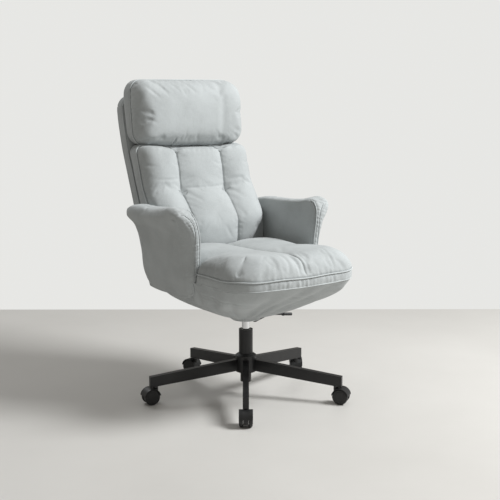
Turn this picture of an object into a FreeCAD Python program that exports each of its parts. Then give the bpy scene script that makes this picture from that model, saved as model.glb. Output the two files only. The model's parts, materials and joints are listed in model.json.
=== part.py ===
import FreeCAD, Part
import math
import os

# Swivel lounge-style office chair. Millimetres, +Z up, floor at z = 0.
# The origin is on the floor, on the swivel axis. The sitter faces -Y, and +X is the sitter's left.

V = FreeCAD.Vector
X_AXIS = V(1, 0, 0)
Y_AXIS = V(0, 1, 0)
Z_AXIS = V(0, 0, 1)

# ---- five-star base
LEG_COUNT = 5
FIRST_LEG = -35.0            # heading of the first leg, degrees from -Y towards +X
LEG_REACH = 344.0            # swivel axis to the end of a leg
LEG_WIDTH = 20.0
LEG_TOP_HUB = 131.0          # height of a leg's upper face at the hub
LEG_TOP_END = 95.0
LEG_DEPTH_HUB = 41.0
LEG_DEPTH_END = 36.0
LEG_WALL = 2.0
HUB_R = 36.0
HUB_BOTTOM = 86.0
HUB_TOP = 141.5
COLLAR_TOP = 151.0

# ---- gas column
COLUMN_R = 24.3
COLUMN_FOOT_R = 19.0
COLUMN_BOTTOM = 49.5
COLUMN_TOP = 237.0
COLUMN_BORE_R = 20.5
COLUMN_FLOOR = 3.0
BUSH_BOTTOM = 165.0
BUSH_TOP = 235.0
CYLINDER_R = 14.0
CYLINDER_BORE_R = 11.25
CYLINDER_BOTTOM = 72.0
CYLINDER_TOP = 335.0
ROD_R = 5.0
ROD_BOTTOM = 43.0
ROD_TOP = 296.0
FIT = 0.05                   # radial clearance of running fits
HEIGHT_TRAVEL = 100.0        # seat height adjustment, upwards from rest

# ---- casters
STEM_REACH = 324.0           # swivel axis to a caster stem
STEM_R = 5.5
STEM_BOTTOM = 38.0
SLEEVE_R = 8.5
SLEEVE_TOP = 93.0
SLEEVE_LENGTH = 33.5
TRAIL = 18.0                 # stem axis to axle
WHEEL_R = 27.0
WHEEL_WIDTH = 13.5
WEB_HALF = 8.5               # half thickness of the caster body between its wheels
WHEEL_GAP = 0.5
AXLE_R = 3.0
HOOD_OUTER_R = 29.5
HOOD_INNER_R = 27.9
BOSS_TOP = 57.5              # collar round the stem
# heading of each caster's trail, degrees from -Y towards +X, one for each leg
CASTER_HEADINGS = (-35.0, 35.0, 148.0, -160.0, -98.0)

# ---- tilt mechanism
PIVOT_Z = 335.0              # tilt axis, straight above the column
TILT_MAX = 12.0
HOUSING_HALF = 50.0
HOUSING_FRONT = -70.0
HOUSING_REAR = 100.0
HOUSING_FLOOR = 310.0
SHEET = 2.5
PLATE_BOTTOM = 358.0
PLATE_THICK = 4.0
PLATE_HALF = 95.0
PLATE_FRONT = -115.0
PLATE_REAR = 135.0
SPRING_Y = 78.0
SPRING_X = 26.0

# ---- height lever, on the sitter's left
LEVER_X = 31.0               # lever pivot
LEVER_DROP = 256.0           # height at which the rod turns outwards, under the shell
LEVER_CREST_X = 100.0        # highest point of the rod's outer run
LEVER_CREST_Z = 276.0
LEVER_END_X = 200.0
LEVER_END_Z = 262.5
LEVER_R = 4.0
BUTTON_TOP = 340.5
FINGER_GAP = 0.8

# ---- seat
BEARER_TOP = 418.0
BEARER_Y = (-10.0, 110.0)
BEARER_HALF_WIDTH = 22.0
BOARD_TOP = 430.0
SEAT_HALF = 233.0            # between the arms
SEAT_EAR = 256.0             # half width in front of the arms
SEAT_FRONT = -340.0
SEAT_BACK = 172.0
SEAT_BOTTOM = 432.0
SEAT_CREST = 538.0
SHELL_BOTTOM = 272.0
SHELL_MOUTH_R = 46.0         # opening round the column
SHELL_SKIN = 6.0

# ---- arms
ARM_INNER = 236.0
ARM_OUTER = 300.0
ARM_FRONT = -82.0
ARM_TOP_REAR = 648.0
ARM_TOP_FRONT = 676.0

# ---- back
BACK_HALF = 229.0
CUSHION_HALF = 226.0
SHELL_DEPTH = 40.0
BACK_GAP = 3.0
BACK_TOP = 1040.0
CUSHION_TOP = 858.0
HEAD_BOTTOM = 862.0
HEAD_TOP = 1098.0
HEAD_REAR = 464.0
HEAD_BEVEL = 1052.0          # height above which the pillow's rear leans forwards
# rear face of the back: (height, y)
SPINE = ((402.0, 270.0), (460.0, 304.0), (520.0, 330.0), (660.0, 380.0), (845.0, 456.0),
         (940.0, 483.0), (1040.0, 500.0))

os.makedirs("parts", exist_ok=True)


def save(name, solids):
    """One STEP per node: a single solid, or a group of separate identical ones."""
    if isinstance(solids, (list, tuple)):
        shape = Part.makeCompound(list(solids))
    else:
        shape = solids
    shape.exportStep("parts/" + name + ".step")


def heading(degrees):
    """Unit vector on the floor, measured from -Y towards +X."""
    a = math.radians(degrees)
    return V(math.sin(a), -math.cos(a), 0)


def turned(shape, degrees, about=V(0, 0, 0)):
    copy = shape.copy()
    copy.rotate(about, Z_AXIS, degrees)
    return copy


def mirrored(shape):
    return shape.mirror(V(0, 0, 0), X_AXIS)


def box(x0, x1, y0, y1, z0, z1):
    return Part.makeBox(x1 - x0, y1 - y0, z1 - z0, V(x0, y0, z0))


def disc(radius, z0, z1, x=0.0, y=0.0):
    return Part.makeCylinder(radius, z1 - z0, V(x, y, z0))


def ring(outer, inner, z0, z1, x=0.0, y=0.0):
    return disc(outer, z0, z1, x, y).cut(disc(inner, z0 - 1, z1 + 1, x, y))


def turned_profile(points):
    """Solid of revolution about Z from (radius, z) points."""
    corners = [V(r, 0, z) for r, z in points]
    wire = Part.makePolygon(corners + corners[:1])
    return Part.Face(wire).revolve(V(0, 0, 0), Z_AXIS, 360)


def rounded_wire(half, y0, y1, z, radius):
    """Rounded rectangle at height z, centred on X = 0."""
    r = radius
    s = r * (1 - math.sqrt(0.5))
    edges = [
        Part.LineSegment(V(-half + r, y0, z), V(half - r, y0, z)),
        Part.Arc(V(half - r, y0, z), V(half - s, y0 + s, z), V(half, y0 + r, z)),
        Part.LineSegment(V(half, y0 + r, z), V(half, y1 - r, z)),
        Part.Arc(V(half, y1 - r, z), V(half - s, y1 - s, z), V(half - r, y1, z)),
        Part.LineSegment(V(half - r, y1, z), V(-half + r, y1, z)),
        Part.Arc(V(-half + r, y1, z), V(-half + s, y1 - s, z), V(-half, y1 - r, z)),
        Part.LineSegment(V(-half, y1 - r, z), V(-half, y0 + r, z)),
        Part.Arc(V(-half, y0 + r, z), V(-half + s, y0 + s, z), V(-half + r, y0, z)),
    ]
    return Part.Wire([e.toShape() for e in edges])


def stack(sections):
    """Straight-sided loft through (half width, y0, y1, z, corner radius) sections."""
    return Part.makeLoft([rounded_wire(*s) for s in sections], True, True)


def prism_x(points, x0, x1):
    """(y, z) outline pushed along X."""
    corners = [V(x0, y, z) for y, z in points]
    return Part.Face(Part.makePolygon(corners + corners[:1])).extrude(V(x1 - x0, 0, 0))


def prism_y(points, y0, y1):
    """(x, z) outline pushed along Y."""
    corners = [V(x, y0, z) for x, z in points]
    return Part.Face(Part.makePolygon(corners + corners[:1])).extrude(V(0, y1 - y0, 0))


def spine_y(z):
    """Rear face of the back at height z."""
    for (z0, y0), (z1, y1) in zip(SPINE, SPINE[1:]):
        if z <= z1:
            return y0 + (y1 - y0) * (z - z0) / (z1 - z0)
    return SPINE[-1][1]


# ------------------------------------------------------------------ base

def leg_section(reach, top, depth, inset):
    half = LEG_WIDTH / 2 - inset
    corners = [V(-half, -reach, top - inset), V(half, -reach, top - inset),
               V(half, -reach, top - depth + inset), V(-half, -reach, top - depth + inset)]
    return Part.makePolygon(corners + corners[:1])


def leg_body(inset, start, end):
    """Tapered bar along -Y between two reaches."""
    def section(reach):
        t = (reach - HUB_R) / (LEG_REACH - HUB_R)
        top = LEG_TOP_HUB + (LEG_TOP_END - LEG_TOP_HUB) * t
        depth = LEG_DEPTH_HUB + (LEG_DEPTH_END - LEG_DEPTH_HUB) * t
        return leg_section(reach, top, depth, inset)
    return Part.makeLoft([section(start), section(end)], True, True)


def make_legs():
    plug_depth = 3.0
    tube = leg_body(0, HUB_R - 8, LEG_REACH - plug_depth)
    tube = tube.cut(leg_body(LEG_WALL, HUB_R - 9, LEG_REACH))
    tube = tube.cut(disc(HUB_R, 0, 200))
    tube = tube.cut(disc(SLEEVE_R, 40, SLEEVE_TOP, 0, -STEM_REACH))
    plug = leg_body(0, LEG_REACH - plug_depth, LEG_REACH)
    tongue = leg_body(LEG_WALL + 0.2, LEG_REACH - plug_depth - 5, LEG_REACH - plug_depth)
    plug = plug.fuse(tongue).removeSplitter()
    sleeve = ring(SLEEVE_R, STEM_R, SLEEVE_TOP - SLEEVE_LENGTH, SLEEVE_TOP, 0, -STEM_REACH)
    stem = disc(STEM_R, STEM_BOTTOM, SLEEVE_TOP - 4, 0, -STEM_REACH)
    angles = [FIRST_LEG + 360.0 / LEG_COUNT * k for k in range(LEG_COUNT)]
    for k, angle in enumerate(angles):
        save("leg_%d" % (k + 1), turned(tube, angle))
    save("leg_end_plugs", [turned(plug, a) for a in angles])
    save("caster_sleeves", [turned(sleeve, a) for a in angles])
    save("caster_stems", [turned(stem, a) for a in angles])
    return angles


def make_column():
    outside = [(0, COLUMN_BOTTOM), (COLUMN_FOOT_R, COLUMN_BOTTOM), (COLUMN_FOOT_R, HUB_BOTTOM),
               (COLUMN_R, HUB_BOTTOM + 30), (COLUMN_R, COLUMN_TOP), (0, COLUMN_TOP)]
    body = turned_profile(outside)
    hub = disc(HUB_R, HUB_BOTTOM, HUB_TOP).cut(body)
    collar = turned_profile([(0, HUB_TOP), (HUB_R, HUB_TOP), (HUB_R, HUB_TOP + 3),
                             (COLUMN_R + 2.5, COLLAR_TOP), (0, COLLAR_TOP)]).cut(body)
    floor_top = COLUMN_BOTTOM + COLUMN_FLOOR
    bore = disc(COLUMN_FOOT_R - 2.5, floor_top, HUB_BOTTOM + 31).fuse(
        disc(COLUMN_BORE_R, HUB_BOTTOM + 30, COLUMN_TOP + 1))
    tube = body.cut(bore).cut(disc(ROD_R + FIT, 0, 80))
    save("base_hub", hub)
    save("hub_collar", collar)
    save("column_tube", tube)
    save("guide_bush", ring(COLUMN_BORE_R, CYLINDER_R + FIT, BUSH_BOTTOM, BUSH_TOP))
    save("thrust_bearing", ring(14.0, ROD_R + 0.3, floor_top, floor_top + 5.0))
    flange = disc(11.0, floor_top + 5.0, floor_top + 8.0)
    piston = disc(CYLINDER_BORE_R - FIT, ROD_TOP - 14, ROD_TOP)
    rod = disc(ROD_R, ROD_BOTTOM, ROD_TOP).fuse(flange).fuse(piston)
    clip_z = COLUMN_BOTTOM - 2.3
    groove = ring(ROD_R + 1, ROD_R - 1, clip_z, clip_z + 2.0)
    save("piston_rod", rod.cut(groove))
    save("retaining_clip", ring(9.0, ROD_R - 1, clip_z, clip_z + 2.0))


def make_cylinder():
    body = disc(CYLINDER_R, CYLINDER_BOTTOM, CYLINDER_TOP)
    body = body.cut(disc(CYLINDER_BORE_R, CYLINDER_BOTTOM + 8, CYLINDER_TOP - 25))
    body = body.cut(disc(ROD_R + FIT, CYLINDER_BOTTOM - 1, CYLINDER_BOTTOM + 9))
    button_r = 4.0
    button_foot = CYLINDER_TOP - 12
    body = body.cut(disc(button_r + FIT, button_foot - 5, CYLINDER_TOP + 1))
    save("gas_cylinder", body)
    save("valve_button", disc(button_r, button_foot, BUTTON_TOP))


# ------------------------------------------------------------------ casters

def caster_body():
    """Body between the wheels with a hood over the treads; axle along Y, stem axis on Z, trail to -X side."""
    axle_x = -TRAIL
    half = WEB_HALF + WHEEL_GAP + WHEEL_WIDTH
    start = V(axle_x, -WEB_HALF, WHEEL_R)
    web = Part.makeCylinder(HOOD_INNER_R - 4, 2 * WEB_HALF, start, Y_AXIS)
    web = web.cut(box(-80, 40, -20, 20, -5, 12))
    rim_start = V(axle_x, -half, WHEEL_R)
    rim = Part.makeCylinder(HOOD_OUTER_R, 2 * half, rim_start, Y_AXIS)
    rim = rim.cut(Part.makeCylinder(HOOD_INNER_R, 2 * half, rim_start, Y_AXIS))
    rim = rim.common(box(-80, 40, -half, half, WHEEL_R + 4, 80))
    bridge = Part.makeCylinder(HOOD_OUTER_R - 0.5, 2 * WEB_HALF, start, Y_AXIS)
    bridge = bridge.common(box(-80, 40, -WEB_HALF, WEB_HALF, WHEEL_R + 4, 80))
    boss = disc(8.5, 34.0, BOSS_TOP)
    body = web.fuse(rim).fuse(bridge).fuse(boss).removeSplitter()
    body = body.cut(disc(STEM_R + FIT, STEM_BOTTOM - 0.5, 80))
    axle = Part.makeCylinder(AXLE_R, 60, V(axle_x, -30, WHEEL_R), Y_AXIS)
    return body.cut(axle)


def wheel():
    """Wheel with its inner face at y = 0 and its outer, closed face at y = WHEEL_WIDTH, axle along Y."""
    w = WHEEL_WIDTH
    r = WHEEL_R
    outline = [(0, w - 1.5), (0, w), (r - 9, w), (r - 8, w - 1.0), (r - 3.5, w - 1.0), (r - 1.2, w - 2.4),
               (r, w - 5.0), (r, 3.0), (r - 1.5, 0), (r - 5, 0), (r - 6, 3.5), (10, 3.5), (9, 0),
               (AXLE_R + FIT, 0), (AXLE_R + FIT, w - 3.0), (0, w - 3.0)]
    corners = [V(a, b, 0) for a, b in outline]
    face = Part.Face(Part.makePolygon(corners + corners[:1]))
    return face.revolve(V(0, 0, 0), Y_AXIS, 360)


def make_casters(angles):
    body = caster_body()
    reach = WEB_HALF + WHEEL_GAP + WHEEL_WIDTH - 3.2
    axle = Part.makeCylinder(AXLE_R, 2 * reach, V(-TRAIL, -reach, WHEEL_R), Y_AXIS)
    left = wheel()
    left.translate(V(-TRAIL, WEB_HALF + WHEEL_GAP, WHEEL_R))
    right = left.mirror(V(0, 0, 0), Y_AXIS)
    for k, angle in enumerate(angles):
        # the trail lies along local -X, which turns onto the caster's heading
        turn = CASTER_HEADINGS[k] + 90.0
        place = heading(angle) * STEM_REACH
        for name, piece in (("caster_body", body), ("caster_axle", axle),
                            ("wheel_a", left), ("wheel_b", right)):
            shape = turned(piece, turn)
            shape.translate(place)
            save("%s_%d" % (name, k + 1), shape)


# ------------------------------------------------------------------ mechanism and lever

def make_housing():
    wall_top_front = PLATE_BOTTOM - 0.5
    drop = math.tan(math.radians(TILT_MAX))
    clear = 4.0
    side = [(HOUSING_FRONT, HOUSING_FLOOR + 4), (HOUSING_FRONT, wall_top_front),
            (HOUSING_FRONT + 25, wall_top_front), (-12, PIVOT_Z + 14), (12, PIVOT_Z + 14),
            (HOUSING_REAR, PLATE_BOTTOM - clear - HOUSING_REAR * drop), (HOUSING_REAR, HOUSING_FLOOR),
            (-20, HOUSING_FLOOR)]
    tub = prism_x(side, -HOUSING_HALF, HOUSING_HALF)
    inner_half = HOUSING_HALF - SHEET
    inside = [(HOUSING_FRONT + SHEET, HOUSING_FLOOR + 4 + SHEET), (HOUSING_FRONT + SHEET, 400),
              (HOUSING_REAR - SHEET, 400), (HOUSING_REAR - SHEET, HOUSING_FLOOR + SHEET),
              (-20, HOUSING_FLOOR + SHEET)]
    tub = tub.cut(prism_x(inside, -inner_half, inner_half))
    boss = disc(21.0, HOUSING_FLOOR - 12, CYLINDER_TOP - 4)
    ear = box(LEVER_X - 8, LEVER_X + 9, 9.5, 13.0, HOUSING_FLOOR + SHEET - 0.5, PIVOT_Z + 8)
    tub = tub.fuse(boss).fuse(ear).fuse(ear.mirror(V(0, 0, 0), Y_AXIS))
    tub = tub.cut(disc(CYLINDER_R, 200, 400))
    tub = tub.cut(box(LEVER_X - 9, LEVER_X + 15, -9, 9, HOUSING_FLOOR - 15, CYLINDER_TOP + 15))
    pin_hole = Part.makeCylinder(3.0, 60, V(LEVER_X, -30, PIVOT_Z), Y_AXIS)
    pivot_hole = Part.makeCylinder(5.0, 200, V(-100, 0, PIVOT_Z), X_AXIS)
    return tub.cut(pin_hole).cut(pivot_hole)


def make_seat_plate(cutters):
    plate = box(-PLATE_HALF, PLATE_HALF, PLATE_FRONT, PLATE_REAR, PLATE_BOTTOM, PLATE_BOTTOM + PLATE_THICK)
    flange_x = HOUSING_HALF + 1.5
    outline = [(-26, PLATE_BOTTOM), (26, PLATE_BOTTOM), (14, PIVOT_Z - 12), (-14, PIVOT_Z - 12)]
    flange = prism_x(outline, flange_x, flange_x + 3.0)
    plate = plate.fuse(flange).fuse(mirrored(flange)).removeSplitter()
    for cutter in cutters:
        plate = plate.cut(cutter)
    return plate.cut(Part.makeCylinder(5.0 + FIT, 200, V(-100, 0, PIVOT_Z), X_AXIS))


def make_pivot_pin():
    """One of two pins: shank held in the housing wall, head outside the seat plate's flange."""
    shank = Part.makeCylinder(5.0, 12.5, V(HOUSING_HALF - 7, 0, PIVOT_Z), X_AXIS)
    head = Part.makeCylinder(8.0, 3.0, V(HOUSING_HALF + 5.0, 0, PIVOT_Z), X_AXIS)
    tail = Part.makeCylinder(8.0, 2.0, V(HOUSING_HALF - SHEET - 2.0, 0, PIVOT_Z), X_AXIS)
    return shank.fuse(head).fuse(tail).removeSplitter()


def make_spring():
    wire_r = 1.6
    coil_r = 9.5
    bottom = HOUSING_FLOOR + SHEET + wire_r
    top = PLATE_BOTTOM - wire_r - 0.2
    turns = 5
    path = Part.makeHelix((top - bottom) / turns, top - bottom, coil_r)
    section = Part.Wire(Part.makeCircle(wire_r, V(coil_r, 0, 0), Y_AXIS))
    coil = Part.Wire(path).makePipeShell([section], True, True)
    coil.translate(V(SPRING_X, SPRING_Y, bottom))
    return coil


def bent_rod(points, bends, radius):
    """Round bar through (x, z) points in the y = 0 plane, each inner corner an arc of the given radius."""
    corners = [V(x, 0, z) for x, z in points]
    edges = []
    start = corners[0]
    for i in range(1, len(corners) - 1):
        back = (corners[i - 1] - corners[i]).normalize()
        on = (corners[i + 1] - corners[i]).normalize()
        half_angle = back.getAngle(on) / 2
        cut = bends[i - 1] / math.tan(half_angle)
        a = corners[i] + back * cut
        b = corners[i] + on * cut
        centre = corners[i] + (back + on).normalize() * (bends[i - 1] / math.sin(half_angle))
        middle = centre + (corners[i] - centre).normalize() * bends[i - 1]
        edges.append(Part.LineSegment(start, a).toShape())
        edges.append(Part.Arc(a, middle, b).toShape())
        start = b
    edges.append(Part.LineSegment(start, corners[-1]).toShape())
    first = (corners[1] - corners[0]).normalize()
    section = Part.Wire(Part.makeCircle(radius, corners[0], first))
    return Part.Wire(edges).makePipeShell([section], True, False)


def make_lever():
    slope = V(LEVER_END_X - LEVER_CREST_X, 0, LEVER_END_Z - LEVER_CREST_Z).normalize()
    tip = V(LEVER_END_X, 0, LEVER_END_Z)
    rod_end = tip - slope * 6.0
    route = [(LEVER_X, PIVOT_Z - 9), (LEVER_X, LEVER_DROP), (LEVER_CREST_X, LEVER_CREST_Z),
             (rod_end.x, rod_end.z)]
    rod = bent_rod(route, [9.0, 60.0], LEVER_R)
    finger_bottom = BUTTON_TOP + FINGER_GAP
    boss = Part.makeCylinder(7.0, 16.0, V(LEVER_X, -8.0, PIVOT_Z), Y_AXIS)
    stalk = box(LEVER_X - 5.5, LEVER_X + 5.5, -6, 6, PIVOT_Z - 16, PIVOT_Z)
    finger = box(-5.0, LEVER_X + 4, -6, 6, finger_bottom, finger_bottom + 3.5)
    web = box(LEVER_X - 4, LEVER_X + 4, -6, 6, PIVOT_Z, finger_bottom + 1)
    trigger = boss.fuse(stalk).fuse(finger).fuse(web).removeSplitter()
    trigger = trigger.cut(Part.makeCylinder(3.0 + FIT, 40, V(LEVER_X, -20, PIVOT_Z), Y_AXIS)).cut(rod)
    grip_length = 42.0
    grip = Part.makeCylinder(5.4, grip_length, tip - slope * grip_length, slope)
    collar = Part.makeCylinder(6.6, 5.0, tip - slope * (grip_length - 2.0), slope)
    grip = grip.fuse(collar).cut(rod)
    pin = Part.makeCylinder(3.0, 28.0, V(LEVER_X, -14.0, PIVOT_Z), Y_AXIS)
    save("lever_rod", rod)
    save("lever_trigger", trigger)
    save("lever_grip", grip)
    save("lever_pin", pin)


def make_mechanism():
    save("mechanism_housing", make_housing())
    pin = make_pivot_pin()
    save("tilt_pins", [pin, mirrored(pin)])
    spring = make_spring()
    other = spring.copy()
    other.translate(V(-2 * SPRING_X, 0, 0))
    save("tilt_springs", [spring, other])
    make_lever()


# ------------------------------------------------------------------ seat

def arm_outline():
    """(x, z) section of an arm: slim panel whose top rolls outwards."""
    return [(ARM_INNER, 396), (ARM_INNER, 590), (ARM_INNER + 6, 632), (ARM_INNER + 16, ARM_TOP_FRONT),
            (ARM_INNER + 34, ARM_TOP_FRONT + 3), (ARM_OUTER, ARM_TOP_FRONT - 10), (ARM_OUTER + 5, 648),
            (ARM_OUTER - 6, 620), (ARM_OUTER - 20, 580), (ARM_OUTER - 28, 520), (ARM_OUTER - 38, 440),
            (ARM_OUTER - 56, 380), (ARM_INNER - 12, 372), (ARM_INNER - 14, 396)]


def make_arm():
    block = prism_y(arm_outline(), -160, 340)
    side = [(-36, 360), (-60, 410), (-76, 460), (ARM_FRONT, 540), (ARM_FRONT - 2, 610),
            (ARM_FRONT + 10, 650), (-44, ARM_TOP_FRONT + 2), (30, ARM_TOP_FRONT - 5),
            (150, ARM_TOP_REAR + 8), (300, ARM_TOP_REAR), (308, 628),
            (292, 600), (272, 520), (262, 430), (252, 385), (225, 350)]
    return block.common(prism_x(side, 150, 350))


def make_arm_frame():
    side = [(-32, 404), (-50, 470), (-60, 600), (250, 600), (240, 470), (225, 404)]
    return prism_x(side, ARM_INNER + 4.0, ARM_INNER + 12.0)


def arm_bolts():
    """Two bolts that hold one arm's board to the seat bearers."""
    start = ARM_INNER - 31
    return [Part.makeCylinder(3.0, 40, V(start, y, BEARER_TOP - 9), X_AXIS) for y in BEARER_Y]


def make_bearers(cutters):
    bearers = []
    for y in BEARER_Y:
        outline = [(-100, PLATE_BOTTOM + PLATE_THICK), (100, PLATE_BOTTOM + PLATE_THICK),
                   (ARM_INNER - 16, 400), (ARM_INNER - 0.5, 404), (ARM_INNER - 0.5, BEARER_TOP),
                   (-ARM_INNER + 0.5, BEARER_TOP), (-ARM_INNER + 0.5, 404), (-ARM_INNER + 16, 400)]
        beam = prism_y(outline, y - BEARER_HALF_WIDTH, y + BEARER_HALF_WIDTH)
        for cutter in cutters:
            beam = beam.cut(cutter)
        bearers.append(beam)
    return bearers


def plate_bolts():
    bolts = []
    for x in (-78.0, 78.0):
        for y in BEARER_Y:
            shank = disc(3.0, PLATE_BOTTOM, PLATE_BOTTOM + 34, x, y)
            bolts.append(shank.fuse(disc(6.5, PLATE_BOTTOM - 3.5, PLATE_BOTTOM, x, y)))
    return bolts


def cushion_slab(half, y0, y1, corner):
    """Crowned slab for the seat: pulled in at its top and bottom edges."""
    return stack([(half - 10, y0 + 14, y1 - 6, SEAT_BOTTOM, corner),
                  (half, y0, y1, SEAT_BOTTOM + 30, corner),
                  (half - 2, y0 + 4, y1 - 2, SEAT_BOTTOM + 58, corner),
                  (half - 22, y0 + 26, y1 - 16, SEAT_BOTTOM + 82, corner),
                  (half - 62, y0 + 62, y1 - 50, SEAT_CREST, corner)])


def make_seat_cushion():
    between = cushion_slab(SEAT_HALF, SEAT_FRONT + 60, SEAT_BACK, 40)
    front = cushion_slab(SEAT_EAR, SEAT_FRONT, ARM_FRONT - 6, 75)
    return between.fuse(front).removeSplitter()


def shell_sections(skin):
    """Sections of the upholstered bowl under the seat, from the seat's edge down to the mouth."""
    mouth = SHELL_MOUTH_R + 4 - skin
    return [(258 - skin, -334 + skin, 238 - skin, SEAT_BOTTOM - 1, 70),
            (246 - skin, -298 + skin, 228 - skin, 400, 70),
            (212 - skin, -214 + skin, 236 - skin, 352, 80),
            (130 - skin, -130 + skin, 140 - skin, 306, 80),
            (mouth + 14, -mouth - 14, mouth + 14, SHELL_BOTTOM + 7, mouth * 0.95),
            (mouth, -mouth, mouth, SHELL_BOTTOM, mouth * 0.95)]


def make_under_shell(cutters):
    outer = stack(shell_sections(0))
    inner = stack([(h, a, b, z + SHELL_SKIN * 0.9, r) for h, a, b, z, r in shell_sections(SHELL_SKIN)[:-1]])
    shell = outer.cut(inner).cut(disc(SHELL_MOUTH_R, 200, 300))
    for cutter in cutters:
        shell = shell.cut(cutter)
    return shell


def make_seat(brackets):
    arm = make_arm()
    frame = make_arm_frame()
    bolts = arm_bolts()
    shell_cutters = [arm, mirrored(arm)] + brackets
    arm = arm.cut(frame)
    for bolt in bolts:
        arm = arm.cut(bolt)
        frame = frame.cut(bolt)
    screws = plate_bolts()
    all_bolts = bolts + [mirrored(b) for b in bolts]
    save("arm_left", arm)
    save("arm_right", mirrored(arm))
    save("arm_board_left", frame)
    save("arm_board_right", mirrored(frame))
    save("arm_bolts", all_bolts)
    save("plate_bolts", screws)
    save("seat_plate", make_seat_plate(screws))
    save("seat_bearers", make_bearers(all_bolts + screws))
    board = [(230, -290, 190, z, 60) for z in (BEARER_TOP, BOARD_TOP)]
    save("seat_board", stack(board))
    save("seat_cushion", make_seat_cushion())
    save("under_shell", make_under_shell(shell_cutters))


# ------------------------------------------------------------------ back

def back_slab(half, depth_from, depth_to, z0, z1, corner):
    """Slab that follows the spine between two depths in front of the rear face, with rounded corners."""
    heights = [z0] + [z for z, _ in SPINE if z0 < z < z1] + [z1]
    rear = [(spine_y(z) - depth_from, z) for z in heights]
    front = [(spine_y(z) - depth_to, z) for z in reversed(heights)]
    slab = prism_x(rear + front, -half, half)
    r = corner
    s = r * (1 - math.sqrt(0.5))
    outline = Part.Wire([
        Part.LineSegment(V(-half, 0, z0), V(half, 0, z0)).toShape(),
        Part.LineSegment(V(half, 0, z0), V(half, 0, z1 - r)).toShape(),
        Part.Arc(V(half, 0, z1 - r), V(half - s, 0, z1 - s), V(half - r, 0, z1)).toShape(),
        Part.LineSegment(V(half - r, 0, z1), V(-half + r, 0, z1)).toShape(),
        Part.Arc(V(-half + r, 0, z1), V(-half + s, 0, z1 - s), V(-half, 0, z1 - r)).toShape(),
        Part.LineSegment(V(-half, 0, z1 - r), V(-half, 0, z0)).toShape()])
    window = Part.Face(outline).extrude(V(0, 700, 0))
    return slab.common(window)


def make_back():
    board = back_slab(BACK_HALF - 22, SHELL_DEPTH - 12, SHELL_DEPTH, 440, BACK_TOP - 22, 40)
    shell = back_slab(BACK_HALF, 0, SHELL_DEPTH, SPINE[0][0], BACK_TOP, 55).cut(board)
    save("back_shell", shell)
    save("back_board", board)


def make_back_brackets():
    """Two steel angles from under the seat board up the front of the back board."""
    foot_top = BEARER_TOP - 0.5
    foot_bottom = foot_top - 4
    thick = BACK_GAP - 0.3
    brackets = []
    for x in (-120.0, 120.0):
        upright = back_slab(20, SHELL_DEPTH, SHELL_DEPTH + thick, foot_bottom, 600, 6)
        upright.translate(V(x, 0, 0))
        heel = spine_y(foot_bottom) - SHELL_DEPTH - 0.5
        foot = box(x - 20, x + 20, BEARER_Y[1] + BEARER_HALF_WIDTH + 1, heel, foot_bottom, foot_top)
        brackets.append(upright.fuse(foot).removeSplitter())
    save("back_brackets", brackets)
    return brackets


def make_back_cushion():
    """Front face leans back from a full lumbar part, between (height, front y, half width) levels."""
    full = CUSHION_HALF
    levels = ((462, 196, 160), (500, 182, 178), (560, 178, 206), (606, 178, full), (660, 214, full),
              (720, 258, full), (790, 282, full), (846, 304, full), (CUSHION_TOP, 324, full - 14))
    sections = []
    for z, front, half in levels:
        rear = spine_y(z) - SHELL_DEPTH - BACK_GAP
        sections.append((half, front, rear, z, 34))
    return stack(sections)


def make_head_pillow():
    """Rounded pillow between (height, front y, half width) levels, resting on the back shell."""
    levels = ((HEAD_BOTTOM, 350, 208), (884, 326, 222), (960, 320, 227), (1040, 348, 222),
              (1080, 380, 206), (HEAD_TOP, 408, 178))
    sections = []
    for z, front, half in levels:
        rear = min(spine_y(z) - SHELL_DEPTH - BACK_GAP, HEAD_REAR - max(0, z - HEAD_BEVEL) * 0.35)
        sections.append((half, front, rear, z, 17))
    return stack(sections)


def main():
    angles = make_legs()
    make_column()
    make_cylinder()
    make_casters(angles)
    make_mechanism()
    brackets = make_back_brackets()
    make_seat(brackets)
    make_back()
    save("back_cushion", make_back_cushion())
    save("head_pillow", make_head_pillow())


main()
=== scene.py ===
import json
import math

import bpy
import numpy as np
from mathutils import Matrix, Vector
from mathutils.kdtree import KDTree

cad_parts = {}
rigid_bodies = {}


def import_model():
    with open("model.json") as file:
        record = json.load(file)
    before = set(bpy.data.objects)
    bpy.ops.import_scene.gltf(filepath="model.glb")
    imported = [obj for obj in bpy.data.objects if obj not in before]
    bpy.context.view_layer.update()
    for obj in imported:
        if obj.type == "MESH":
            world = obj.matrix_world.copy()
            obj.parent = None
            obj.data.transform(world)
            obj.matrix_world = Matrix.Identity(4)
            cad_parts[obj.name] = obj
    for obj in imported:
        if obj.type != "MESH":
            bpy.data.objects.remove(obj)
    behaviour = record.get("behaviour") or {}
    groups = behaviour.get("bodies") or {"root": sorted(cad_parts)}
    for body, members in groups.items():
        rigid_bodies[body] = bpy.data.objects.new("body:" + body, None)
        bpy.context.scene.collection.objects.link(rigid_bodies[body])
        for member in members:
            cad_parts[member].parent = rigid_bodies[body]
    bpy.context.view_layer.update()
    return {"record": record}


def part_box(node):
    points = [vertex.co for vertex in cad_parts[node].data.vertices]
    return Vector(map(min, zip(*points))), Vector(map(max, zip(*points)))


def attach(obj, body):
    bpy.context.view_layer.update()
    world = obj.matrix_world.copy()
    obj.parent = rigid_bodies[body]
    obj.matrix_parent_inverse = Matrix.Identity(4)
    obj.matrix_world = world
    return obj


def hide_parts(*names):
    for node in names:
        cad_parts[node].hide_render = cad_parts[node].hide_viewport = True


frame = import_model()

scene = bpy.context.scene
TINY = 1e-9


def node_box(name):
    low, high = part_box(name)
    return np.array(low), np.array(high)


# ---------------------------------------------------------------- camera, light and floor

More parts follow.
